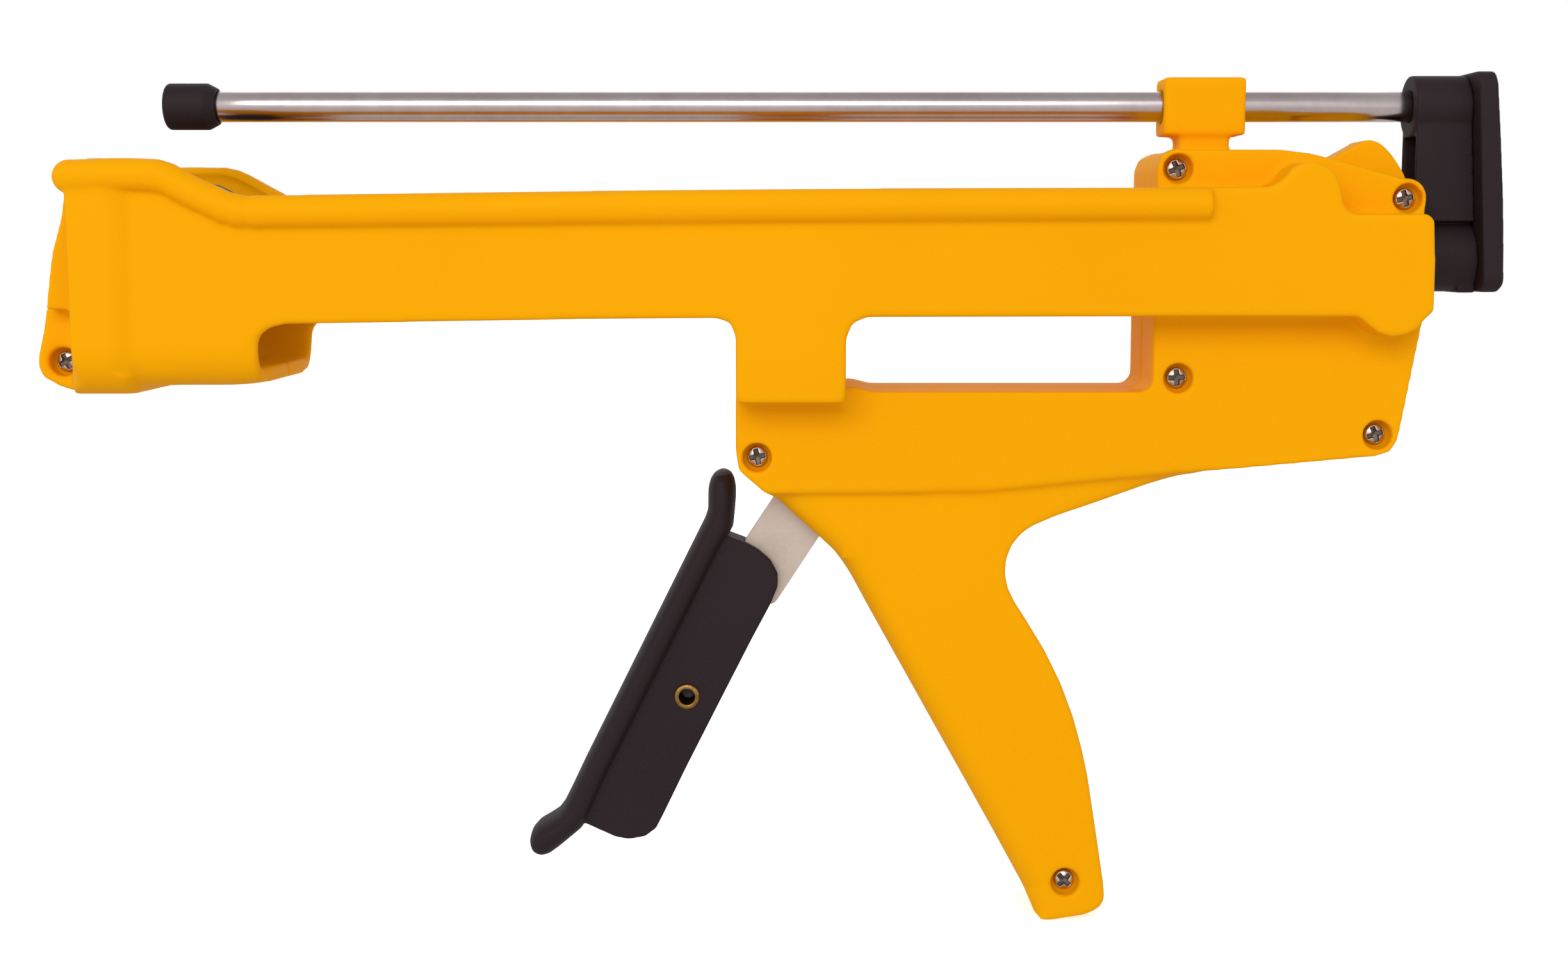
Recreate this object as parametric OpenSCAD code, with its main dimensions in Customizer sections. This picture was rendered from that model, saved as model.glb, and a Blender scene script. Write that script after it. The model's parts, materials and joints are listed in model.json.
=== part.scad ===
// Hand-operated two-piston cartridge dispensing gun.
// +X runs from the nose towards the rear pull plate, +Z is up, +Y is the right side.
// The origin is on the main rod's axis, in the plane where the cartridge bears on the nose plate.

/* [Rods] */
// Diameter of both push rods
rod_d = 8; // [7.6:0.1:8.2]
// Height of the small rod above the main rod
rod_gap = 39.3; // [39:0.1:39.8]
// Diameter of the main (resin) piston
piston_d = 38; // [34:0.5:40]
// Diameter of the small (hardener) piston
tip_d = 12.1; // [11:0.1:13]

/* [Housing] */
// Thickness of the moulded walls
wall = 3; // [2.6:0.1:3.2]
// Half width of the body box that holds the mechanism
core_half = 18; // [17.5:0.5:18.5]
// Half width over the two cradle arms
arm_half = 31; // [30.5:0.5:31.5]
// Half width of the grip
grip_half = 15.5; // [15:0.5:16]
// Radius of the bead along the top of each arm
rail_r = 4.2; // [4:0.1:4.4]
// How far the nose band stands proud of the cradle wall
band = 2.2; // [1.5:0.1:2.4]

/* [Trigger] */
// Thickness of the trigger lever plate
lever_t = 4; // [3.4:0.1:4.2]
// Half width of the finger face
finger_half = 9.5; // [9:0.5:11]
// Radius of the trigger pivot pin
pivot_r = 3; // [2.6:0.1:3]

/* [Fasteners] */
// Radius of a case screw's head
head_r = 2.6; // [2.4:0.1:2.9]
// Radius of the recess above a case screw's head
recess_r = 3.8; // [3.4:0.1:4]
// Radius of a case screw's shank
shank_r = 1.5; // [1.2:0.1:1.5]

/* [Hidden] */

$fn = 48;
rr = rod_d / 2;
yellow = "orange";
black = [0.16, 0.15, 0.16];

// trigger pivot, link pin, release pivot, brake plate foot, all as [x, z]
P1 = [197.1, -51.5];
P2 = [202.3, -43.56];
PR = [314.5, 17];
PB = [329.5, -14];
RIVET = [155.8, -118];

// case screws as [x, z, y of the shell face around the head]
SCREWS = [[283, 22.5, core_half], [342, 15, core_half], [284.2, -31.2, core_half],
  [336.3, -46, core_half], [175, -51.9, core_half], [257.4, -166.8, grip_half], [-7.4, -27.4, 10]];

// ---------- helpers ----------
// extrudes an [x, z] outline along Y from y0 to y1
module yx(y0, y1) translate([0, y1, 0]) rotate([90, 0, 0]) linear_extrude(height = y1 - y0) children();
// extrudes a [y, z] outline along X from x0 to x1
module xx(x0, x1) translate([x0, 0, 0]) rotate([90, 0, 90]) linear_extrude(height = x1 - x0) children();
// cylinder along Y at [x, z]
module ycyl(p, r, y0, y1) translate([p[0], y1, p[1]]) rotate([90, 0, 0]) cylinder(r = r, h = y1 - y0);
// cylinder along X at height z
module xcyl(z, r, x0, x1, y = 0) translate([x0, y, z]) rotate([0, 90, 0]) cylinder(r = r, h = x1 - x0);
// solid of revolution about X at height z; outline is [radius, x]
module xrev(z, pts) translate([0, 0, z]) rotate([0, 90, 0]) rotate_extrude() polygon(pts);
// rounded rectangle of width w between the heights z0 and z1
module rrect(w, z0, z1, r) {
  translate([-w / 2, z0 + r]) square([w, z1 - z0 - 2 * r]);
  translate([r - w / 2, z0]) square([w - 2 * r, z1 - z0]);
  for (y = [r - w / 2, w / 2 - r], z = [z0 + r, z1 - r]) translate([y, z]) circle(r = r);
}
module box(a, b) translate(a) cube(b - a);

function unit(v) = v / norm(v);
function arc(c, r, a0, a1, n) = [for (i = [0:n]) let (a = a0 + (a1 - a0) * i / n) [c[0] + r * cos(a), c[1] + r * sin(a)]];
// what rounding by r takes off the edge at y = h above the line a to b, with the solid on its left
module edge_cut(a, b, r, h) {
  d = unit(b - a);
  translate([b[0] + d[0], 0, b[1] + d[1]]) rotate([0, atan2(-d[0], -d[1]), 0]) linear_extrude(height = norm(b - a) + 2)
    difference() { translate([-3, h - r]) square([r + 3, r + 2]); translate([r, h - r]) circle(r = r); }
}
// helical spring along X at height 0: sweeps a small ring of points round the coil
module coil(x0, x1, r, w, turns, per = 12, sides = 6) {
  n = turns * per;
  pts = [for (i = [0:n]) let (a = 360 * i / per, x = x0 + w + (x1 - x0 - 2 * w) * i / n)
      for (j = [0:sides - 1]) let (b = 360 * j / sides, q = r + w * cos(b)) [x + w * sin(b), q * cos(a), q * sin(a)]];
  polyhedron(points = pts, faces = concat(
      [[for (j = [0:sides - 1]) j]],
      [for (i = [0:n - 1]) for (j = [0:sides - 1]) let (k = (j + 1) % sides)
          [i * sides + j, (i + 1) * sides + j, (i + 1) * sides + k, i * sides + k]],
      [[for (j = [sides - 1:-1:0]) n * sides + j]]), convexity = 10);
}

// ---------- outlines, [x, z] ----------
core_pts = [[169.7, -33.5], [169.4, -38], [169.4, -50], [170.2, -55.3], [177.5, -61.8], [190, -61.6], [234, -61], [264, -58], [295, -55.3],
  [336, -51.6], [339.8, -50.4], [341.7, -47.3], [346.9, -17], [346.6, -10], [346.6, 13.5], [345.6, 16.8], [343.2, 19],
  [339.5, 20.4], [325.5, 24.2], [317, 26.4], [309, 27.4], [282, 27.4], [278.8, 26.2], [277.5, 23], [277.5, -32.7], [275.5, -34.7],
  [205.5, -34.7], [201, -33.5]];
core_in = [[170 + wall, -34.7 - wall], [170 + wall, -49.5], [174, -53.5], [179.5, -58.4], [234, -58], [264, -55], [295, -52.3],
  [335, -48.3], [337.5, -47], [338.3, -45], [343.4, -16.5], [343.4, 12], [342, 14.8], [339, 17.2], [325, 21],
  [308.5, 24.4], [283, 24.4], [280.5, 22.5], [280.5, -34.7 - wall]];
// grip, counter-clockwise, from the top of its front edge; its top is buried in the body box
grip_pts = [[178.4, -61.9], [183.6, -66.9], [190.9, -73.4], [195.3, -77.7], [199.9, -84.4], [204.6, -93.1], [219.1, -119.2],
  [238.7, -154.5], [246.8, -169.5], [248.7, -173.6], [249.5, -175.8], [250.6, -177], [252.2, -177.5], [253.4, -177.4], [262.4, -176], [265.3, -174.9], [267.2, -173.4],
  [268.2, -171.4], [267.7, -166.5], [264.8, -148.4], [263.1, -138], [261.4, -130.4], [258.9, -121.5], [255.5, -112.6], [251.1, -103.7], [245.7, -94.9],
  [242.9, -90.6], [241.1, -86.9], [240.3, -83], [240.6, -79.2], [241.9, -75.6], [244.4, -72.4], [247.2, -70.4], [253.2, -67.8], [265.2, -63.8], [277.1, -59.6],
  [281, -58.4], [285, -57.3], [289, -56.5], [291, -56.1], [291, -46], [178, -46]];
grip_in = [[196, -70], [204, -82], [222.6, -117], [242, -151.5], [250.4, -167.5], [252.8, -173.4], [264, -171.8],
  [264, -166], [261.2, -148.5], [257.8, -131], [252, -113.5], [247.4, -105], [241, -94], [237.2, -87.5], [236.6, -82],
  [237.6, -76.2], [240.8, -70.9], [246, -67], [262, -61.2], [262, -55], [186, -55], [186, -61]];
arm_pts = [[2.8, 20], [25.6, 20], [28.2, 19.5], [30.6, 18.4], [39.6, 13.7], [42.4, 12.3], [45.7, 11.4], [50, 11.15], [289, 12.8], [289, -14.8], [202.8, -15], [199.2, -16.6], [197.7, -20.5],
  [197.7, -34.8], [195.8, -36.7], [171.7, -36.7], [169.8, -34.8], [169.8, -19.8], [168.4, -16.4], [165, -15.2], [130, -15.5], [56, -16.7],
  [52, -17.7], [49.5, -19.7], [48.3, -22.5], [48, -25], [2.8, -25]];
rear_pts = [[277.5, -14.8], [277.5, 17.2], [304, 17.7], [306.8, 19.4], [309, 22.3], [311.5, 23.5], [314.5, 23.8], [317.5, 22.9],
  [320, 20.8], [321.3, 17.5], [322, 13.5], [323.2, 11.5], [325.5, 10.8], [343.6, 10.8], [345, 9.4], [345.6, 0], [345.7, -13.6],
  [343.6, -15.4], [342.3, -17.2], [340.5, -18.8], [338, -19.7], [335, -19.9], [332, -19], [329.3, -16.9], [326.8, -14.9]];
rear_in = [[280.5, -11.8], [280.5, 14.2], [306, 14.7], [308.8, 17.2], [311.2, 20], [314.5, 20.8], [317, 19.4], [318.5, 15],
  [319.6, 10], [322, 8], [342.2, 7.8], [342.2, -11.8]];
// side views of the nose's front wall and of the screw lobe below it
nose_side = [[4, 22], [-3.4, 22], [-3.5, 14.5], [-4.3, 9.7], [-5.6, 5.4], [-6.7, 2], [-7.5, -2.2], [-8.1, -6.4], [-9.1, -13.6], [4, -13.6]];
lobe_side = [[4, -11.5], [-8.8, -11.5], [-11.4, -13.6], [-12.3, -19], [-13.9, -25.5], [-14.2, -28.4], [-13, -31.4], [-8.4, -34], [-5, -35], [4, -35]];
// half of the nose plate, [y, z]
plate_half = [[-1, -28], [10.8, -28], [12.6, -26], [12.6, -14], [16, -9], [16, 24], [-1, 24]];
rail_path = [[3.5, 20], [25.6, 20.15], [28.2, 19.6], [30.6, 18.5], [39.6, 13.8], [42.4, 12.4], [45.7, 11.5], [50, 11.3], [289, 13.3]];

// cradle section, [y, z], grown outwards by g and down to the bead
function cradle(g, top = 20) = concat([[0, -32.8 - g], [21, -32.8 - g]], arc([arm_half - 10, -22.8], 10 + g, -80, -10, 7),
    [[arm_half + g, -22.8], [arm_half + g, top], [0, top]]);
function cradle_in() = concat([[-40, -32.8 + wall], [20.5, -32.8 + wall]], arc([arm_half - wall - 8, -21.8], 8, -80, -10, 6),
    [[arm_half - wall, -21.8], [arm_half - wall, 60], [-40, 60]]);

// grip edges that are rounded: from, to, radius
GRIP_EDGES = [[[181, -64.2], [196, -78], 6], [[198, -80.4], [247, -169.5], 6.5], [[247, -169.5], [249.3, -176], 5], [[253.5, -179.6], [266, -178.1], 2],
  [[269.6, -174.5], [268.7, -166.5], 6], [[268.7, -166.5], [262.1, -130.4], 6.5], [[262.1, -130.4], [255.5, -112.6], 6.5], [[255.5, -112.6], [245.1, -94.9], 6.5],
  [[245.1, -94.9], [241.6, -87], 4], [[257, -68.6], [286.4, -58.1], 4]];

// ---------- one half of the housing, at y >= 0 ----------
module rail() {
  for (i = [0:len(rail_path) - 2]) {
    a = rail_path[i]; b = rail_path[i + 1]; d = b - a;
    translate([a[0], arm_half - 0.5, a[1]]) rotate([0, 90 - atan2(d[1], d[0]), 0]) cylinder(r = rail_r, h = norm(d));
    translate([a[0], arm_half - 0.5, a[1]]) sphere(r = rail_r + 0.12);
  }
}
module half_outer() {
  yx(0, core_half) polygon(core_pts);
  difference() {
    yx(0, grip_half) polygon(grip_pts);
    for (e = GRIP_EDGES) edge_cut(e[0], e[1], e[2], grip_half);
  }
  yx(0, arm_half) polygon(rear_pts);
  yx(arm_half - wall, arm_half) polygon(arm_pts);
  box([169.8, 0, -36.7], [197.7, arm_half - 1, -33.5]);
  rail();
  // nose cup, its band, and the slope between them
  intersection() {
    xx(2.8, 49.6) polygon(cradle(0));
    yx(0, 40) polygon(concat([for (i = [0:7]) arm_pts[i]], [[60, 11], [60, -31.5], [50, -31.9], [45, -32.4], [38, -33], [2.8, -33]]));
  }
  xx(2.8, 12.2) polygon(cradle(band));
  for (i = [0:4]) xx(12.2 + i * 1.1, 12.2 + (i + 1) * 1.1) polygon(cradle(band * [0.93, 0.8, 0.64, 0.44, 0.18][i]));
  // front wall, flat in the middle and sloping back to the band
  yx(0, 16.4) polygon(nose_side);
  intersection() {
    translate([0, 16.4, 0]) rotate([0, 0, -35]) yx(-12, 30) polygon([for (p = nose_side) [p[0] * cos(35), p[1]]]);
    xx(-16, 10) polygon(cradle(band, 22));
    box([-16, 16.3, -14], [10, 40, 22]);
  }
  // screw lobe and the wall beside it
  yx(0, 10) polygon(lobe_side);
  intersection() {
    translate([0, 0, -36]) linear_extrude(height = 22.6) polygon([[4, 0], [4, 32], [2.8, 32], [-1.6, 18.5], [-4.3, 12], [-5.2, 9], [-5.2, 0]]);
    xx(-16, 4) polygon(cradle(band));
  }
  // guide for the small rod
  box([281.1, 0, 31.6], [302.5, 6.5, 46.6]);
  box([285.5, 0, 27], [298.7, 5.3, 32.4]);
}
module half_inner() {
  yx(-1, core_half - wall) polygon(core_in);
  yx(-1, arm_half - wall) polygon(rear_in);
  yx(-1, grip_half - 4) polygon(grip_in);
  // cartridge bay, open above, with its front corners closed in; the beads overhang it a little
  intersection() {
    xx(0, 277.5) polygon(cradle_in());
    translate([0, 0, -40]) linear_extrude(height = 110) polygon([[0, -2], [0, 20], [7, arm_half - wall], [277.5, arm_half - wall], [277.5, -2]]);
    union() {
      box([-1, -3, -28], [278, arm_half - wall - 2.2, 70]);
      yx(-3, arm_half) polygon(concat([[-1, 22.2]], [for (i = [1:len(rail_path) - 1]) [rail_path[i][0], rail_path[i][1] + 2.2]], [[289, -28], [-1, -28]]));
    }
  }
  // steel plate pocket and the slot for the cartridge neck
  xx(-2.5, 0.1) polygon([for (p = plate_half) [p[0], p[1] > 20 ? 40 : p[1]]]);
  xcyl(12.5, 12, -20, 0.1);
  box([-20, -1, 12.5], [0.1, 12, 40]);
}
module half_bosses() {
  // screw posts
  for (s = SCREWS) if (s[2] > 12) {
    ycyl([s[0], s[1]], 3.6, 0, s[2] - 1);
    ycyl([s[0], s[1]], 5.2, s[2] - 7, s[2] - 1);
  }
  // trigger pivot and release pivot posts
  ycyl(P1, 5.5, 4.8, core_half - 1);
  ycyl(PR, 4.4, 6.3, arm_half - 1);
  // rib that the brake spring bears on
  difference() {
    box([317, 0, -12], [319, core_half - wall + 0.5, 12]);
    xcyl(0, 4.6, 316, 320);
  }
  // seat for the brake plate's foot
  box([326.2, 0, -20], [327.5, core_half - wall + 0.5, -11.5]);
  box([331.7, 0, -20], [333.4, core_half - wall + 0.5, -13.5]);
  box([326.2, 0, -20], [333.4, core_half - wall + 0.5, -17.5]);
}
module half_cuts() {
  // rod bores: small rod guide, bush seats of the main rod
  xcyl(rod_gap, rr + 0.08, 270, 310);
  xcyl(0, 7.02, 276, 281);
  xcyl(0, 7.02, 343, 348);
  // opening for the trigger lever
  yx(-1, lever_t / 2 + 0.7) polygon([[170, -66], [181, -54], [206.8, -54], [206.8, -98], [192, -98]]);
  // opening for the release lever
  yx(-1, 6.5) polygon([[318.4, 14], [318.4, 32], [345.5, 32], [345.5, 14.2], [343.5, 14.2], [343.5, 11], [337, 11], [337, 8], [330, 8], [330, 14]]);
  // pivot pin holes
  ycyl(P1, pivot_r + 0.02, -1, 13.1);
  ycyl(PR, 2.02, -1, 14.1);
}
module half_shell() {
  difference() {
    union() {
      difference() { half_outer(); half_inner(); }
      half_bosses();
    }
    half_cuts();
  }
}
module right_shell() color(yellow) difference() {
  half_shell();
  for (s = SCREWS) ycyl([s[0], s[1]], shank_r + 0.05, -1, s[2] > 12 ? 11 : 8);
}
module left_shell() color(yellow) mirror([0, 1, 0]) difference() {
  half_shell();
  for (s = SCREWS) {
    ycyl([s[0], s[1]], shank_r + 0.05, -1, s[2]);
    ycyl([s[0], s[1]], recess_r, s[2] - 4.6, s[2] + 2);
  }
}

// ---------- fixed parts ----------
module nose_plate() color("silver") difference() {
  union() for (m = [0, 1]) mirror([0, m, 0]) {
    xx(-2.5, 0) polygon(plate_half);
    // hook over the front flange of the cartridge
    box([-1, 12, 21.6], [6.4, 16, 24]);
    box([3, 12.4, 23], [6.4, 15.6, 25.3]);
  }
  xcyl(12.5, 11.5, -4, 1);
  box([-4, -11.5, 12.5], [1, 11.5, 30]);
}
module pan_screw(p, y) {
  // head with a cross recess, shank along +Y
  difference() {
    union() {
      ycyl(p, head_r, y + 3.3, y + 4.6);
      translate([p[0], y + 3.3, p[1]]) intersection() {
        translate([0, 2.6, 0]) sphere(r = 3.7);
        rotate([90, 0, 0]) cylinder(r = head_r, h = 3);
      }
      ycyl(p, shank_r, y + 4.5, p[1] < -20 && p[0] < 0 ? 7 : 10.5);
    }
    translate([p[0], y + 2, p[1]]) rotate([0, 12, 0]) {
      box([-0.45, -1, -1.7], [0.45, 2, 1.7]);
      box([-1.7, -1, -0.45], [1.7, 2, 0.45]);
      rotate([-90, 0, 0]) translate([0, 0, -1]) cylinder(r = 0.9, h = 3.4);
    }
  }
}
module case_screws() color("lightgray") for (s = SCREWS) pan_screw([s[0], s[1]], -s[2]);
module bush(x0, x1, xf) difference() {
  union() { xcyl(0, 7, x0, x1); xcyl(0, 8.6, min(xf, xf + 2.4), max(xf, xf + 2.4)); }
  xcyl(0, rr + 0.06, x0 - 5, x1 + 5);
}
module front_bush() color("dimgray") bush(277.5, 281, 280.6);
module rear_bush() color("dimgray") bush(342.8, 346.6, 340.9);
module trigger_pivot_pin() color("silver") ycyl(P1, pivot_r, -13, 13);
module release_pin() color("silver") ycyl(PR, 2, -14, 14);

// ---------- trigger ----------
bead_pts = [[165.5, -56.1], [163, -57.2], [161.9, -60], [161.8, -67], [159.3, -72.4], [153.7, -84.2], [144.9, -101.8], [136.1, -119.2],
  [127.3, -136.8], [122.4, -147.4], [120.6, -149.6], [115.4, -152.6], [113.5, -155.4], [113.8, -158.6], [116.6, -160.6], [119.6, -159.4],
  [124, -155.8], [127.6, -153.4], [129.2, -151.4], [140.6, -127], [148.8, -110], [162.6, -83.4], [167.2, -75], [168.4, -71.5],
  [169.2, -62.8], [169.2, -59.4], [168, -57]];
plate_pts = [[162.6, -83.4], [148.8, -110], [140.6, -127], [129.2, -151.4], [127.8, -153.2], [136.1, -157], [139.8, -157.6], [144.2, -156.7],
  [146.8, -154.5], [148.7, -150.7], [154.9, -137.8], [163.8, -120.1], [172.7, -102.5], [178, -92.7], [180.1, -88],
  [180.1, -84.7], [178.4, -81], [175.1, -78.1], [171.2, -75.9], [167.2, -74.4]];
lever_pts = concat([[190.4, -47.1]], [for (q = arc(P2, 4, 146.7, -33.3, 10)) q],
  [[203.8, -55.9], [192.5, -73.3], [186.7, -82.2], [180.2, -92.2], [179.4, -93], [178.6, -93.3], [175.5, -93.3], [169.5, -104.6], [147, -149.8], [135.5, -145.6], [152, -112], [166.5, -84], [171.3, -76.4], [179.1, -64.5]]);
module trigger_lever() color("lightgray") difference() {
  yx(-lever_t / 2, lever_t / 2) polygon(lever_pts);
  ycyl(P1, pivot_r + 0.03, -5, 5);
  ycyl(P2, 2.02, -5, 5);
  ycyl(RIVET, 2.9, -5, 5);
}
module trigger_cover() color(black) difference() {
  union() {
    yx(-finger_half, finger_half) polygon([for (p = bead_pts) [182 + (p[0] - 182) * 1.011, 3.2 + (p[1] - 3.2) * 1.011]]);
    yx(-6, 6) polygon(plate_pts);
  }
  yx(-lever_t / 2, lever_t / 2) polygon([[147, -149.8], [135.5, -145.6], [152, -112], [166.5, -84], [171.3, -76.4], [172, -72],
      [190, -72], [186.7, -82.2], [181.5, -93.3], [175.5, -93.3], [169.5, -104.6]]);
  ycyl(RIVET, 2.9, -7, 7);
}
module trigger_rivet() color("goldenrod") difference() {
  union() { ycyl(RIVET, 2.9, -6.2, 6.2); ycyl(RIVET, 3.5, -6.6, -6); ycyl(RIVET, 3.5, 6, 6.6); }
  ycyl(RIVET, 2.1, -8, 1.5);
}
module link_pin() color("silver") ycyl(P2, 2, -4.8, 4.8);

// ---------- drive ----------
module link_bars() color("lightgray") for (s = [-1, 1]) difference() {
  yx(s > 0 ? 2.4 : -4.4, s > 0 ? 4.4 : -2.4) polygon([[198, -39.4], [197, -40.4], [197, -46.6], [198, -47.6], [315, -47.6], [316, -46.6], [316, -40.4], [315, -39.4]]);
  // slot that lets the pin rise as the lever swings
  box([P2[0] - 2.3, -6, P2[1] - 2.2], [P2[0] + 2.3, 6, P2[1] + 3.9]);
  ycyl([312.1, -43.5], 2.02, -6, 6);
}
module drive_pin() color("silver") ycyl([312.1, -43.5], 2, -7.5, 7.5);
module drive_plate() color("gray") difference() {
  union() {
    box([306, -9, -9], [310, 9, 9]);
    box([306, -6, -50], [310, 6, -8]);
  }
  xcyl(0, rr + 0.15, 300, 315);
  box([305, -4.6, -47.8], [311, 4.6, -39.2]);
}
module drive_spring() color("gray") coil(283.1, 306, 6.2, 0.65, 6);

// ---------- rods and pistons ----------
module main_rod() color("silver") xcyl(0, rr, 26, 358);
module main_piston() color(black) difference() {
  xrev(0, [[0, 22], [18, 22], [piston_d / 2, 23], [piston_d / 2, 32], [piston_d / 2 - 1.8, 35.7], [9, 36.4], [7.5, 42], [0, 42]]);
  xcyl(0, rr, 26, 43);
  xcyl(0, 2, 21, 27);
  xrev(0, [[0, 21.9], [4.1, 21.9], [2, 24], [0, 24]]);
}
module piston_screw() color("lightgray") difference() {
  union() {
    xrev(0, [[0, 22.1], [3.9, 22.1], [2, 24], [2, 26], [0, 26]]);
  }
  box([21, -0.5, -2.4], [23, 0.5, 2.4]);
  box([21, -2.4, -0.5], [23, 2.4, 0.5]);
}
module small_rod() color("silver") xcyl(rod_gap, rr, 22, 356.5);
module small_piston() color(black) difference() {
  xrev(rod_gap, [[0, 19.5], [tip_d / 2 - 0.9, 19.5], [tip_d / 2, 20.5], [tip_d / 2, 30.9], [4.6, 33], [0, 33]]);
  xcyl(rod_gap, rr, 22, 34);
}
module rear_bridge() color(black) difference() {
  intersection() {
    yx(-12, 12) polygon([[340, 50], [360.7, 50], [364.2, -10], [340, -10]]);
    union() {
      xcyl(rod_gap, 8, 346.6, 370);
      xcyl(0, 9.2, 347.6, 370);
      box([347.2, -6.6, 9.2], [370, 6.6, 35.8]);
      box([348.5, -3.6, -3], [370, 3.6, 42]);
      box([359.4, -6, -9.4], [370, 6, -4]);
    }
  }
  // hollow, open towards the body
  box([340, -5, 12.4], [355.6, 5, 31.4]);
  xcyl(0, rr, 340, 358);
  xcyl(rod_gap, rr, 340, 356.5);
  xcyl(0, 2.5, 350, 370);
  xcyl(rod_gap, 2.5, 350, 370);
  xcyl(0, 5.6, 359.6, 370);
  xcyl(rod_gap, 5.2, 357.8, 370);
  for (z = [10, 30]) xcyl(z, 1.3, 350, 372);
}
module rear_cap() color(black) difference() {
  intersection() {
    yx(-12.5, 12.5) polygon([[361, 47.8], [365.7, 47.8], [367.2, 30.8], [368.35, 16], [368.9, 6], [369.3, -4], [369.4, -7], [368.7, -9.2], [364.2, -9.2]]);
    xx(355, 375) rrect(25, -9.2, 47.8, 4);
  }
  for (z = [10, 30]) { xcyl(z, 1.3, 350, 372); xcyl(z, 2.7, 366.7 + (30 - z) * 0.08, 372); }
}
module rod_nuts() color("lightgray") {
  xrev_nut(0, 5.5, 359.6, 362.6);
  xrev_nut(rod_gap, 5.1, 357.8, 360.6);
}
module xrev_nut(z, r, x0, x1) {
  difference() { translate([x0, 0, z]) rotate([0, 90, 0]) cylinder(r = r, h = x1 - x0, $fn = 6); xcyl(z, 2.5, x0 - 1, x1 + 1); }
  xcyl(z, 2.5, z > 10 ? 356.5 : 358, x1);
}
module cap_screws() color("lightgray") for (z = [10, 30]) {
  x = 366.7 + (30 - z) * 0.08;
  difference() {
    union() { xcyl(z, 1.25, x - 8, x + 0.1); xcyl(z, 2.5, x, x + 1.1); }
    box([x + 0.5, -0.35, z - 1.6], [x + 2, 0.35, z + 1.6]);
    box([x + 0.5, -1.6, z - 0.35], [x + 2, 1.6, z + 0.35]);
  }
}

// ---------- release ----------
lever2_pts = [[310.2, 15], [312.4, 12.8], [316.8, 12.6], [322, 15.6], [329, 16.8], [333.8, 16.8], [333.2, 12], [333.6, 9], [336, 9], [337.2, 18.8],
  [339, 19.8], [341, 20.1], [343.8, 20.1], [345, 19.8], [344.5, 21.4], [343.5, 23], [342.3, 24.8], [340.9, 26.7], [339.2, 28.5], [337.6, 29.7], [335.6, 30.4], [333.4, 30.2], [331.7, 29.1],
  [326.4, 26.2], [320, 22.4], [317, 20.7], [313.6, 21.2], [310.8, 20]];
module release_lever() color(yellow) difference() {
  yx(-6, 6) polygon(lever2_pts);
  ycyl(PR, 2.04, -8, 8);
}
module brake_plate() color("gray") translate([PB[0], 0, PB[1]]) rotate([0, 4, 0]) translate([-PB[0], 0, -PB[1]]) difference() {
  box([328, -9, -16.5], [331, 9, 12.2]);
  translate([0, 0, 0.03]) xcyl(0, rr + 0.45, 325, 335);
}
module brake_spring() color("gray") coil(319.1, 327.4, 6.4, 0.55, 3);

left_shell();
right_shell();
nose_plate();
case_screws();
front_bush();
rear_bush();
trigger_lever();
trigger_cover();
trigger_rivet();
trigger_pivot_pin();
link_pin();
link_bars();
drive_plate();
drive_pin();
drive_spring();
main_rod();
main_piston();
piston_screw();
small_rod();
small_piston();
rear_bridge();
rear_cap();
rod_nuts();
cap_screws();
release_lever();
release_pin();
brake_plate();
brake_spring();
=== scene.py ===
import bpy, bmesh, math, json
import numpy as np
from mathutils import Vector, Matrix

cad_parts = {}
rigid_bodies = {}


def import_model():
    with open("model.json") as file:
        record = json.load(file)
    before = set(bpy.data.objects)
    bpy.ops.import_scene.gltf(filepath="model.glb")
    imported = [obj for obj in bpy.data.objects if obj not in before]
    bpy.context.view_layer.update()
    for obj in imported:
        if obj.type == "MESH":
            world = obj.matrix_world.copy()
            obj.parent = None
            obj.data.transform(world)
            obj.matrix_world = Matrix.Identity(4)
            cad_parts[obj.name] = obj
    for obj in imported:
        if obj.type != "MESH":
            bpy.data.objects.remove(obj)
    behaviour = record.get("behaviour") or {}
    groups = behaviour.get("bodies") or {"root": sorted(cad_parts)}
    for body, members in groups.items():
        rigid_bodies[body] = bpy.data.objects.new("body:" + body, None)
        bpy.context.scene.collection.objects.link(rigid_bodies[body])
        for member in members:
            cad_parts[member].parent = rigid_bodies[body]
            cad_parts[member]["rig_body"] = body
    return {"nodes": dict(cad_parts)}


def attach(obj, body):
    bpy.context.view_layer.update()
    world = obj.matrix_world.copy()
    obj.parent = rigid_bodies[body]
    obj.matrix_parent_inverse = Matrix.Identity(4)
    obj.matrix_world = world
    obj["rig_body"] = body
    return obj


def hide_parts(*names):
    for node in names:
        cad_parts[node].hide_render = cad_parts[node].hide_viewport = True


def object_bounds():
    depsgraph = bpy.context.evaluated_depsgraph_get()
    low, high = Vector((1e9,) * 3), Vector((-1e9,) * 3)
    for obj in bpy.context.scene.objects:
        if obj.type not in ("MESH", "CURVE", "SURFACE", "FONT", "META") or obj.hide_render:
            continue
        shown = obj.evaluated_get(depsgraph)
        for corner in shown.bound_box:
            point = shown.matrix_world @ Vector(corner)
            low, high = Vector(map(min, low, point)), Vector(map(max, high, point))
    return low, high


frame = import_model()
N = frame["nodes"]
CAD_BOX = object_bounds()
MM = 0.001
scene = bpy.context.scene

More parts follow.
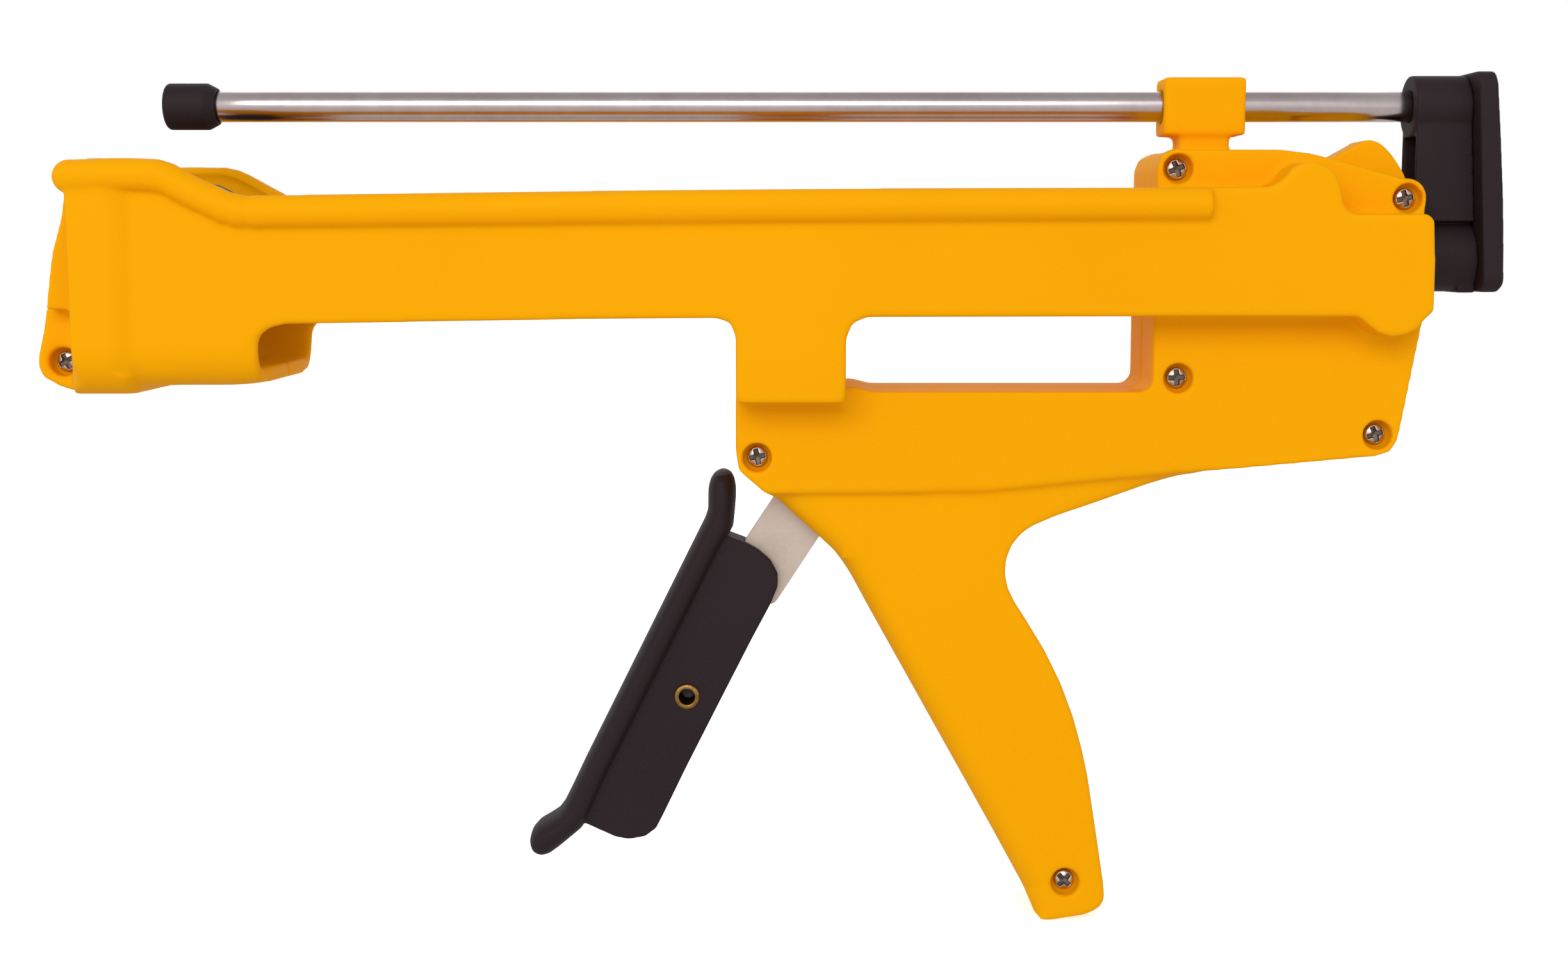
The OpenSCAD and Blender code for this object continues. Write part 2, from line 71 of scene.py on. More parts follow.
# ------------------------------------------------------------------ camera
cam = bpy.data.objects.new("camera", bpy.data.cameras.new("camera"))
scene.collection.objects.link(cam)
cam.location = (0.182, -0.540, 0.003214)
cam.rotation_euler = (math.radians(90 - 6.771), 0, 0)
cam.data.sensor_width = 36
cam.data.lens = 3150 / 2448 * 36
cam.data.clip_start, cam.data.clip_end = 0.01, 50
scene.camera = cam


# ------------------------------------------------------------------ materials
def new_mat(name):
    m = bpy.data.materials.new(name)
    m.use_nodes = True
    t = m.node_tree
    t.nodes.clear()
    out = t.nodes.new("ShaderNodeOutputMaterial")
    p = t.nodes.new("ShaderNodeBsdfPrincipled")
    t.links.new(p.outputs[0], out.inputs[0])
    return m, t, p


def coords(t, scale=(1, 1, 1)):
    c = t.nodes.new("ShaderNodeTexCoord")
    mp = t.nodes.new("ShaderNodeMapping")
    mp.inputs["Scale"].default_value = scale
    t.links.new(c.outputs["Object"], mp.inputs[0])
    return mp.outputs[0]


def noise(t, vec, scale, detail=3, rough=0.5, distort=0.0):
    n = t.nodes.new("ShaderNodeTexNoise")
    n.inputs["Scale"].default_value = scale
    n.inputs["Detail"].default_value = detail
    n.inputs["Roughness"].default_value = rough
    n.inputs["Distortion"].default_value = distort
    t.links.new(vec, n.inputs["Vector"])
    return n.outputs["Fac"]


def ramp(t, fac, stops):
    r = t.nodes.new("ShaderNodeValToRGB")
    e = r.color_ramp.elements
    e[0].position, e[0].color = stops[0][0], (*stops[0][1], 1)
    e[1].position, e[1].color = stops[-1][0], (*stops[-1][1], 1)
    for pos, col in stops[1:-1]:
        x = e.new(pos)
        x.color = (*col, 1)
    t.links.new(fac, r.inputs[0])
    return r.outputs[0]


def rng(t, fac, a, b, lo=0.3, hi=0.7):
    m = t.nodes.new("ShaderNodeMapRange")
    m.inputs["From Min"].default_value = lo
    m.inputs["From Max"].default_value = hi
    m.inputs["To Min"].default_value = a
    m.inputs["To Max"].default_value = b
    t.links.new(fac, m.inputs["Value"])
    return m.outputs[0]


def mixc(t, fac, a, b):
    m = t.nodes.new("ShaderNodeMix")
    m.data_type = "RGBA"
    if isinstance(fac, float):
        m.inputs[0].default_value = fac
    else:
        t.links.new(fac, m.inputs[0])
    for i, v in ((6, a), (7, b)):
        if isinstance(v, tuple):
            m.inputs[i].default_value = (*v, 1)
        else:
            t.links.new(v, m.inputs[i])
    return m.outputs[2]


def math2(t, op, a, b):
    m = t.nodes.new("ShaderNodeMath")
    m.operation = op
    for i, v in ((0, a), (1, b)):
        if isinstance(v, (int, float)):
            m.inputs[i].default_value = v
        else:
            t.links.new(v, m.inputs[i])
    return m.outputs[0]


def bump(t, p, height, dist, strength=1.0, prev=None):
    b = t.nodes.new("ShaderNodeBump")
    b.inputs["Distance"].default_value = dist
    b.inputs["Strength"].default_value = strength
    t.links.new(height, b.inputs["Height"])
    if prev is not None:
        t.links.new(prev, b.inputs["Normal"])
    t.links.new(b.outputs[0], p.inputs["Normal"])
    return b.outputs[0]


def plastic(name, cols, rough, grain, grain_depth, spec=0.5, mottle=9.0):
    m, t, p = new_mat(name)
    v = coords(t)
    big = noise(t, v, mottle, 4, 0.6)
    fine = noise(t, v, grain, 2, 0.6)
    specks = noise(t, v, grain * 2.6, 1, 0.5)
    base = ramp(t, big, [(0.3, cols[0]), (0.5, cols[1]), (0.72, cols[2])])
    f = rng(t, fine, 0.0, 1.0, 0.35, 0.65)
    base = mixc(t, math2(t, "MULTIPLY", f, 0.35), base, cols[3])
    t.links.new(base, p.inputs["Base Color"])
    t.links.new(rng(t, math2(t, "ADD", math2(t, "MULTIPLY", big, 0.5), math2(t, "MULTIPLY", fine, 0.5)), rough - 0.06, rough + 0.07), p.inputs["Roughness"])
    p.inputs["Specular IOR Level"].default_value = spec
    b = bump(t, p, fine, grain_depth, 0.6)
    bump(t, p, specks, grain_depth * 0.5, 0.5, b)
    return m


yellow = plastic("yellow_moulding", [(0.895, 0.382, 0.0003), (0.91, 0.392, 0.0003), (0.925, 0.404, 0.0005), (0.94, 0.42, 0.0015)], 0.52, 1900, 0.00006, 0.03)
black = plastic("black_moulding", [(0.0165, 0.0098, 0.0118), (0.019, 0.0115, 0.014), (0.022, 0.0138, 0.0168), (0.029, 0.019, 0.0225)], 0.6, 1500, 0.00006, 0.16)
acetal = plastic("acetal_moulding", [(0.02, 0.02, 0.022), (0.024, 0.024, 0.026), (0.03, 0.03, 0.032), (0.035, 0.035, 0.037)], 0.38, 2500, 0.00002)


def metal(name, cols, rough, spread=0.08, scratch=(1, 1, 1), scratch_scale=900, depth=0.00001, mottle=60, aniso=0.0):
    m, t, p = new_mat(name)
    v = coords(t)
    vs = coords(t, scratch)
    big = noise(t, v, mottle, 5, 0.62, 0.4)
    small = noise(t, v, mottle * 9, 3, 0.6)
    lines = noise(t, vs, scratch_scale, 2, 0.5)
    both = math2(t, "ADD", math2(t, "MULTIPLY", big, 0.65), math2(t, "MULTIPLY", small, 0.35))
    t.links.new(ramp(t, both, [(0.36, cols[0]), (0.5, cols[1]), (0.64, cols[2])]), p.inputs["Base Color"])
    p.inputs["Metallic"].default_value = 1.0
    t.links.new(rng(t, math2(t, "ADD", math2(t, "MULTIPLY", both, 0.6), math2(t, "MULTIPLY", lines, 0.4)), rough - spread, rough + spread, 0.35, 0.65), p.inputs["Roughness"])
    if aniso:
        p.inputs["Anisotropic"].default_value = aniso
    bump(t, p, lines, depth, 0.5)
    return m


chrome = metal("ground_chrome", [(0.50, 0.435, 0.435), (0.54, 0.475, 0.475), (0.58, 0.52, 0.52)], 0.22, 0.03, (0.02, 1, 1), 2600, 0.000003, 25)
zinc = metal("zinc_plate", [(0.56, 0.475, 0.40), (0.60, 0.515, 0.445), (0.62, 0.55, 0.49)], 0.5, 0.07, (1, 1, 1), 1200, 0.00001, 110)
screw_steel = metal("screw_zinc", [(0.42, 0.33, 0.26), (0.58, 0.50, 0.46), (0.72, 0.66, 0.64)], 0.3, 0.08, (1, 1, 1), 2400, 0.00001, 420)
brass = metal("rivet_brass", [(0.17, 0.088, 0.022), (0.30, 0.165, 0.045), (0.46, 0.27, 0.08)], 0.42, 0.1, (1, 1, 1), 2500, 0.00001, 300)
# painted shade: dark metals for the inside of the rivet's bore and for the disc that closes its far end, where shade
# falls
bore_painted_shade = metal("rivet_bore_painted_shade", [(0.035, 0.020, 0.014), (0.055, 0.032, 0.022), (0.09, 0.055, 0.035)], 0.5, 0.08, (1, 1, 1), 2500, 0.00001, 260)
bore_end_painted_shade = metal("rivet_bore_end_painted_shade", [(0.12, 0.10, 0.12), (0.16, 0.135, 0.155), (0.21, 0.18, 0.20)], 0.6, 0.08, (1, 1, 1), 1500, 0.00001, 200)
# painted shade: a dark zinc for the inside of the screws' cross recesses, where shade falls
cross_painted_shade = metal("screw_cross_painted_shade", [(0.10, 0.082, 0.066), (0.15, 0.125, 0.105), (0.24, 0.21, 0.18)], 0.55, 0.08, (1, 1, 1), 2400, 0.00001, 380)
hard = metal("blackened_steel", [(0.10, 0.10, 0.105), (0.16, 0.16, 0.17), (0.22, 0.22, 0.225)], 0.4, 0.1, (1, 1, 1), 1200, 0.00001, 140)
wire = metal("spring_wire", [(0.25, 0.25, 0.26), (0.34, 0.34, 0.35), (0.42, 0.42, 0.43)], 0.3, 0.08, (1, 1, 1), 1500, 0.00001, 200)

MATS = {
    "left_shell": yellow, "right_shell": yellow, "release_lever": yellow,
    "nose_plate": zinc, "trigger_lever": zinc, "link_bars": zinc,
    "case_screws": screw_steel, "piston_screw": screw_steel, "cap_screws": screw_steel, "rod_nuts": screw_steel,
    "front_bush": acetal, "rear_bush": acetal,
    "trigger_cover": black, "main_piston": black, "small_piston": black, "rear_bridge": black, "rear_cap": black,
    "trigger_rivet": brass, "trigger_pivot_pin": hard, "link_pin": hard, "drive_pin": hard, "release_pin": hard,
    "drive_plate": hard, "brake_plate": hard, "drive_spring": wire, "brake_spring": wire,
    "main_rod": chrome, "small_rod": chrome,
}


def set_mat(o, m):
    o.data.materials.clear()
    o.data.materials.append(m)
    for poly in o.data.polygons:
        poly.material_index = 0


for name, o in N.items():
    set_mat(o, MATS[name])


# ------------------------------------------------------------------ mesh tools
def smooth_shade(me, on=True):
    me.polygons.foreach_set("use_smooth", np.full(len(me.polygons), on, bool))


def evaluated(o):
    dg = bpy.context.evaluated_depsgraph_get()
    dg.update()
    return bpy.data.meshes.new_from_object(o.evaluated_get(dg), depsgraph=dg)


def relax(me, steps, weight=None, lam=0.55):
    """Moves every vertex towards the mean of its neighbours, by weight, steps times over."""
    n = len(me.vertices)
    co = np.empty(n * 3); me.vertices.foreach_get("co", co); co = co.reshape(-1, 3)
    e = np.empty(len(me.edges) * 2, np.int64); me.edges.foreach_get("vertices", e); e = e.reshape(-1, 2)
    deg = np.bincount(e.ravel(), minlength=n).clip(1)[:, None]
    w = np.ones(n) if weight is None else weight(co)
    idx = np.concatenate([e[:, 0], e[:, 1]]); oth = np.concatenate([e[:, 1], e[:, 0]])
    for _ in range(steps):
        s = np.stack([np.bincount(idx, weights=co[oth, k], minlength=n) for k in range(3)], 1)
        co = co + (s / deg - co) * (lam * w)[:, None]
    me.vertices.foreach_set("co", co.ravel())
    me.update()


def soften(node, name, voxel, steps, regions=(), keep=0.4, mat=None):
    """A moulded version of a CAD node: its solid with every edge and inner corner rounded."""
    src = bpy.data.objects.new(name + "_src", N[node].data.copy())
    scene.collection.objects.link(src)
    bm = bmesh.new(); bm.from_mesh(src.data)
    bmesh.ops.remove_doubles(bm, verts=bm.verts, dist=1e-6)
    bm.to_mesh(src.data); bm.free()
    md = src.modifiers.new("v", "REMESH"); md.mode = "VOXEL"; md.voxel_size = voxel; md.adaptivity = 0
    me = evaluated(src)
    bpy.data.objects.remove(src)
    relax(me, steps)
    for steps2, fn in regions:
        relax(me, steps2, fn)
    if node.endswith("_shell"):
        crown(me)
    o = bpy.data.objects.new(name, me)
    scene.collection.objects.link(o)
    if keep < 1:
        d = o.modifiers.new("d", "DECIMATE"); d.ratio = keep
        me2 = evaluated(o)
        o.modifiers.clear()
        o.data = me2
    smooth_shade(o.data)
    set_mat(o, mat or MATS[node])
    body = N[node]["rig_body"]
    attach(o, body)
    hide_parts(node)
    return o


def ramp_np(x, a, b):
    return np.clip((x - a) / (b - a), 0, 1)


def crown(me):
    """The beads bow up very slightly, and the nose band ends in a short rounded foot."""
    n = len(me.vertices)
    co = np.empty(n * 3); me.vertices.foreach_get("co", co); co = co.reshape(-1, 3)
    x, y, z = co[:, 0], np.abs(co[:, 1]), co[:, 2]
    w = np.sin(math.pi * np.clip((x - 0.06) / (0.285 - 0.06), 0, 1)) * ramp_np(y, 0.024, 0.027) * ramp_np(z, 0.004, 0.011)
    bead = ramp_np(y, 0.022, 0.026) * ramp_np(z, 0.010, 0.016)
    rise = 0.00045 * np.exp(-((x - 0.016) / 0.011) ** 2) - np.where(co[:, 1] < 0, 0.0007, -0.0003) * np.exp(-((x - 0.0345) / 0.007) ** 2)
    foot = 1 - ramp_np(z, -0.0302, -0.0286)
    back = np.interp(x, [-1, 0.009, 0.0122, 0.0177, 0.0205, 1], [-1, 0.009, 0.0148, 0.0176, 0.0205, 1]) - x
    turn = (1 - ramp_np(z, -0.0335, -0.0255)) ** 1.5 * ramp_np(y, 0.015, 0.021) * (1 - ramp_np(x, 0.0035, 0.010)) * ramp_np(x, 0.001, 0.002)
    co[:, 2] += 0.00045 * w + bead * rise
    co[:, 0] += back * foot + 0.0022 * turn
    me.vertices.foreach_set("co", co.ravel())
    me.update()


def under_body(co):
    """1 where the grip flows out of the body box, 0 elsewhere, in metres."""
    x, y, z = co[:, 0], co[:, 1], co[:, 2]
    band = np.exp(-((z + 0.0635 - (x - 0.20).clip(0) * 0.07) / 0.006) ** 2)
    return band * ramp_np(x, 0.172, 0.186) * (1 - ramp_np(x, 0.285, 0.30))


def front_edge(co):
    """1 where two rounded edges of the grip's front meet."""
    return np.exp(-(((co[:, 0] - 0.1972) ** 2 + (co[:, 2] + 0.0795) ** 2) / 0.0042 ** 2)) * ramp_np(np.abs(co[:, 1]), 0.003, 0.006)


def cup_corner(co):
    """1 on the rounded lower corner of the nose cup and the arms' lower edge beside it."""
    x, y, z = co[:, 0], np.abs(co[:, 1]), co[:, 2]
    return (1 - ramp_np(x, 0.062, 0.072)) * ramp_np(x, np.where(z < -0.0285, 0.024, 0.014), np.where(z < -0.0285, 0.030, 0.018)) * ramp_np(y, 0.017, 0.021) * (1 - ramp_np(z, np.where(x > 0.046, -0.0215, -0.0125), np.where(x > 0.046, -0.0195, -0.0085)))


for side in ("left", "right"):
    soften(side + "_shell", "case_" + side, 0.0006, 6, [(22, under_body), (60, front_edge), (40, cup_corner)], 0.34)

soften("rear_bridge", "rod_bridge", 0.0003, 8, keep=0.35)
soften("rear_cap", "pull_plate", 0.0003, 10, keep=0.35)
soften("release_lever", "thumb_lever", 0.0003, 10, keep=0.5)
soften("main_piston", "resin_piston", 0.0004, 5, keep=0.5)


def add(name, me, node, mat=None, smooth=True):
    o = bpy.data.objects.new(name, me)
    scene.collection.objects.link(o)
    if smooth:
        smooth_shade(me)
    set_mat(o, mat or MATS[node])
    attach(o, N[node]["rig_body"])
    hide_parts(node)
    return o


def mesh_of(verts, faces, name="m"):
    me = bpy.data.meshes.new(name)
    me.from_pydata([tuple(v) for v in verts], [], faces)
    me.validate()
    bm = bmesh.new(); bm.from_mesh(me)
    bmesh.ops.remove_doubles(bm, verts=bm.verts, dist=1e-8)
    bmesh.ops.recalc_face_normals(bm, faces=bm.faces)
    bm.to_mesh(me); bm.free()
    return me


def lathe(profile, seg=96, closed=False):
    """profile: [(along, radius)] in mm; turned about X. An end at radius 0 closes on a point. closed: a ring profile."""
    verts, faces = [], []
    n = len(profile)
    for a, r in profile:
        for k in range(seg):
            t = 2 * math.pi * k / seg
            verts.append((a * MM, r * math.cos(t) * MM, r * math.sin(t) * MM))
    last = n if closed else n - 1
    for i in range(last):
        j = (i + 1) % n
        for k in range(seg):
            m2 = (k + 1) % seg
            faces.append((i * seg + k, j * seg + k, j * seg + m2, i * seg + m2))
    if not closed:
        for i in (0, n - 1):
            if profile[i][1] > 0:
                faces.append(tuple(i * seg + k for k in range(seg)))
    return verts, faces


def round_profile(pts, radii, seg=5):
    """Rounds the corners of a profile: pts [(a, r)], radii per corner."""
    out = []
    for i, p in enumerate(pts):
        r = radii[i]
        if r <= 0 or i in (0, len(pts) - 1):
            out.append(p); continue
        a, b = np.array(pts[i - 1], float), np.array(pts[i + 1], float)
        q = np.array(p, float)
        u = (a - q) / np.linalg.norm(a - q); v = (b - q) / np.linalg.norm(b - q)
        half = math.acos(max(-1, min(1, float(u @ v)))) / 2
        d = r / math.tan(half)
        c = q + (u + v) / np.linalg.norm(u + v) * r / math.sin(half)
        s0, s1 = q + u * d - c, q + v * d - c
        a0 = math.atan2(s0[1], s0[0]); a1 = math.atan2(s1[1], s1[0])
        da = (a1 - a0 + math.pi) % (2 * math.pi) - math.pi
        for k in range(seg + 1):
            t = a0 + da * k / seg
            out.append((c[0] + r * math.cos(t), c[1] + r * math.sin(t)))
    return out


def shifted(vf, dz=0.0, dx=0.0, dy=0.0):
    v, f = vf
    return [(p[0] + dx * MM, p[1] + dy * MM, p[2] + dz * MM) for p in v], f


# push rods: ground bar with a small chamfer at each end
for node, name, x0, x1, z in (("main_rod", "resin_rod", 26, 358, 0), ("small_rod", "hardener_rod", 22, 356.5, 39.3)):
    xs = [x0 + 0.4 + (x1 - x0 - 0.8) * i / 12 for i in range(13)]
    prof = [(x0, 0), (x0, 3.6)] + [(x, 4.0) for x in xs] + [(x1, 3.6), (x1, 0)]
    add(name, mesh_of(*shifted(lathe(prof, 96), z)), node)

# small piston: a moulded cup with a rounded front rim and a shallow dish in its front
prof = round_profile([(20.4, 0), (20.4, 3.4), (19.5, 3.9), (19.5, 6.05), (30.4, 6.05), (33, 4.7), (33, 4.02), (23, 4.02), (23, 0)],
                     [0, 0.5, 0.5, 1.25, 0.9, 0.5, 0.2, 0.1, 0], 6)
add("hardener_piston", mesh_of(*shifted(lathe(prof, 96), 39.3)), "small_piston")

# rivet: rolled tube through the trigger plates; its bore and the disc that closes it are coloured dark as painted shade
prof = [(1.5, 0), (1.5, 1.7), (1.2, 2.1), (-2.0, 2.1), (-6.2, 2.1), (-6.5, 2.25), (-6.6, 2.55), (-6.58, 2.95), (-6.4, 3.3), (-6.15, 3.48), (-6.02, 3.3), (-6.0, 2.88), (-5.0, 2.88),
        (5.0, 2.88), (6.0, 2.88), (6.02, 3.3), (6.15, 3.48), (6.4, 3.3), (6.58, 2.95), (6.6, 2.2), (6.6, 0)]
v, f = lathe(prof, 64)
v = [(155.8 * MM + p[1], p[0], -118 * MM + p[2]) for p in v]
eyelet = add("trigger_eyelet", mesh_of(v, f), "trigger_rivet")
eyelet.data.materials.append(bore_painted_shade)
eyelet.data.materials.append(bore_end_painted_shade)
# faces inside the bore get the near-black painted shade, the closing disc a dim grey painted shade
for poly in eyelet.data.polygons:
    c = poly.center / MM
    rad = math.hypot(c.x - 155.8, c.z + 118)
    if rad < 2.12 and c.y > -6.0 and c.y < 3:
        poly.material_index = 2 if c.y > 1.3 else 1


# case screws: domed head with a flared cross, shank behind; the cross recess is coloured dark as painted shade
def cross_inside(rad, t):
    """How far inside the cross recess a point of the head lies, 0 to 1."""
    u, w = abs(rad * math.cos(t)), abs(rad * math.sin(t))
    a, b = max(u, w), min(u, w)
    half = 0.56 + 0.22 * max(0.0, 1 - a / 1.3) + 0.05 * max(0.0, a - 1.2)
    return min(1.0, max(0.0, (half - b) / 0.16 + 0.5)) * min(1.0, max(0.0, (2.18 - a) / 0.2))


def screw(x, z, y0, length, turn, r=2.6):
    """Head's front at y0 (mm, facing -Y), its shank ends at y0 + length."""
    rings, seg = 30, 96
    verts, faces = [], []
    def height(rad, t):
        dome = 1.15 * (1 - math.sqrt(max(0.0, 1 - (rad / 3.35) ** 2))) * 1.7
        a = max(abs(rad * math.cos(t)), abs(rad * math.sin(t)))
        depth = 1.6 - 0.45 * a
        return dome + cross_inside(rad, t) * depth
    for i in range(rings + 1):
        rad = r * (i / rings) * 0.965 if i < rings else r
        for k in range(seg):
            t = 2 * math.pi * k / seg
            h = height(rad, t) + (0.22 if i == rings else 0)
            verts.append((rad * math.cos(t + turn), h, rad * math.sin(t + turn)))
    base = rings + 1
    for rad, h in ((r, 2.1), (1.5, 2.12), (1.5, length - 0.6), (1.0, length)):
        for k in range(seg):
            t = 2 * math.pi * k / seg + turn
            verts.append((rad * math.cos(t), h, rad * math.sin(t)))
    n = rings + 1 + 4
    for i in range(n - 1):
        for k in range(seg):
            m2 = (k + 1) % seg
            faces.append((i * seg + k, (i + 1) * seg + k, (i + 1) * seg + m2, i * seg + m2))
    faces.append(tuple((n - 1) * seg + k for k in range(seg)))
    return [((x + p[0]) * MM, (y0 + p[1]) * MM, (z + p[2]) * MM) for p in verts], faces


SCREWS = [(283, 22.5, 18, 22), (342, 15, 18, 14), (284.2, -31.2, 18, 4), (336.3, -46, 18, 20), (175, -51.9, 18, 12),
          (257.4, -166.8, 15.5, 45), (-7.4, -27.4, 10, 28)]
V, F = [], []
for x, z, y, turn in SCREWS:
    v, f = screw(x, z, -y + 2.25, (7 if x < 0 else 10.5) + y - 2.25, math.radians(turn))
    F += [tuple(i + len(V) for i in face) for face in f]
    V += v
heads = add("case_screw_set", mesh_of(V, F), "case_screws")
# faces inside each cross recess get the painted shade material
heads.data.materials.append(cross_painted_shade)
for poly in heads.data.polygons:
    c = poly.center / MM
    x, z, y, turn = min(SCREWS, key=lambda q: (q[0] - c.x) ** 2 + (q[1] - c.z) ** 2)
    rad = math.hypot(c.x - x, c.z - z)
    if c.y < -y + 2.25 + 2.0 and rad < 2.3 and cross_inside(rad, math.atan2(c.z - z, c.x - x) - math.radians(turn)) > 0.45:
        poly.material_index = 1


# trigger grip: a rounded bar swept down the front, and the side plate that wraps the lever
def bar(sections, width, power=2.6, seg=56):
    """sections: [(left x, left z, right x, right z, share of the width)], mm."""
    verts, faces = [], []
    for lx, lz, rx, rz, share in sections:
        c = np.array([(lx + rx) / 2, (lz + rz) / 2]); h = np.array([rx - lx, rz - lz]) / 2
        for k in range(seg):
            t = 2 * math.pi * k / seg
            cy, cn = math.cos(t), math.sin(t)
            y = math.copysign(abs(cy) ** (2 / power), cy) * width * share
            n2 = math.copysign(abs(cn) ** (2 / power), cn)
            verts.append(((c[0] + h[0] * n2) * MM, y * MM, (c[1] + h[1] * n2) * MM))
    m = len(sections)
    for i in range(m - 1):
        for k in range(seg):
            k2 = (k + 1) % seg
            faces.append((i * seg + k, (i + 1) * seg + k, (i + 1) * seg + k2, i * seg + k2))
    faces.append(tuple(range(seg)))
    faces.append(tuple((m - 1) * seg + k for k in range(seg)))
    return verts, faces


def joined(parts):
    V, F = [], []
    for v, f in parts:
        F += [tuple(i + len(V) for i in face) for face in f]
        V += list(v)
    return V, F


def prism(pts, y0, y1):
    n = len(pts)
    v = [(x * MM, y0 * MM, z * MM) for x, z in pts] + [(x * MM, y1 * MM, z * MM) for x, z in pts]
    f = [tuple(range(n)), tuple(range(n, 2 * n))] + [(i, (i + 1) % n, n + (i + 1) % n, n + i) for i in range(n)]
    return v, f


def long_side(t):
    """Points on the finger face and on the crease behind it, t from the top to the bottom of the straight part."""
    return (159.3 + (127.3 - 159.3) * t, -72.4 + (-136.8 + 72.4) * t, 165.9 + (133.9 - 165.9) * t, -75.6 + (-140 + 75.6) * t, 1.0)


sections = [(164.9, -56.3, 166.6, -56.3, 0.42), (163.4, -57.2, 168.0, -57.1, 0.74), (162.4, -58.8, 168.8, -58.6, 0.90), (161.9, -61, 169.2, -60.8, 0.98),
            (161.8, -64, 169.2, -63.6, 1.0), (161.8, -66.5, 168.9, -67.2, 1.0), (161.0, -69, 168.5, -71.2, 1.0)]
sections += [long_side(t) for t in (0.02, 0.12, 0.25, 0.4, 0.55, 0.7, 0.85, 0.97)]
sections += [(124.8, -142.2, 131.6, -145.4, 1.0), (122.4, -147, 129.3, -150.4, 1.0), (120.6, -149.4, 127.5, -153.3, 1.0), (118.0, -151.1, 124.1, -156.2, 1.0),
             (115.5, -152.5, 121.4, -158.5, 0.98), (113.7, -154.5, 119.0, -160.3, 0.92), (113.1, -156.8, 117.2, -160.9, 0.78), (113.4, -158.8, 115.5, -160.8, 0.52)]
sections = [(182 + (a - 182) * 1.011, 3.2 + (b - 3.2) * 1.011, 182 + (c - 182) * 1.011, 3.2 + (d - 3.2) * 1.011, e) for a, b, c, d, e in sections]
bar_vf = bar(sections, 9.5, 2.5)
plate = [(161.2, -84), (147.4, -110.6), (139.2, -127.6), (127.9, -151.3), (127.2, -152.9), (136.1, -157), (139.8, -157.7), (144.2, -156.9),
         (147.2, -154.6), (149.2, -150.7), (155.4, -137.8), (164.3, -120.1), (173.2, -102.5), (178.4, -92.7), (180.3, -88), (180.3, -84.7),
         (178.4, -81), (175.1, -78.1), (171.2, -75.9), (167.2, -74.4), (165.0, -76)]
src = bpy.data.objects.new("grip_src", mesh_of(*joined([bar_vf])))
pl = bpy.data.objects.new("plate_src", mesh_of(*prism(plate, -6, 6)))
cutter = bpy.data.objects.new("cut_src", mesh_of(*prism([(147, -149.8), (135.5, -145.6), (152, -112), (166.5, -84), (171.3, -76.4), (172, -72),
                                                          (190, -72), (186.7, -82.2), (181.5, -93.3), (175.5, -93.3), (169.5, -104.6)], -2.01, 2.01)))
v, f = lathe([(-8, 2.9), (8, 2.9)], 64)
hole = bpy.data.objects.new("hole_src", mesh_of([(155.8 * MM + p[1], p[0], -118 * MM + p[2]) for p in v], f))
for o in (src, pl, cutter, hole):
    scene.collection.objects.link(o)
for other, op in ((pl, "UNION"), (cutter, "DIFFERENCE"), (hole, "DIFFERENCE")):
    b = src.modifiers.new("b", "BOOLEAN"); b.operation = op; b.object = other; b.solver = "EXACT"
md = src.modifiers.new("v", "REMESH"); md.mode = "VOXEL"; md.voxel_size = 0.00033; md.adaptivity = 0
me = evaluated(src)
for o in (src, pl, cutter, hole):
    bpy.data.objects.remove(o)
relax(me, 7)
tmp = bpy.data.objects.new("grip_tmp", me); scene.collection.objects.link(tmp)
d = tmp.modifiers.new("d", "DECIMATE"); d.ratio = 0.4
me2 = evaluated(tmp); bpy.data.objects.remove(tmp)
add("trigger_grip", me2, "trigger_cover")

# ------------------------------------------------------------------ stage and light
def area(name, loc, target, size, power, col=(1, 1, 1)):
    l = bpy.data.lights.new(name, "AREA")
    l.shape = "RECTANGLE"; l.size, l.size_y = size
    l.energy = power; l.color = col
    o = bpy.data.objects.new(name, l)
    scene.collection.objects.link(o)
    o.location = loc
    o.rotation_euler = (Vector(target) - Vector(loc)).to_track_quat("-Z", "Y").to_euler()
    return o


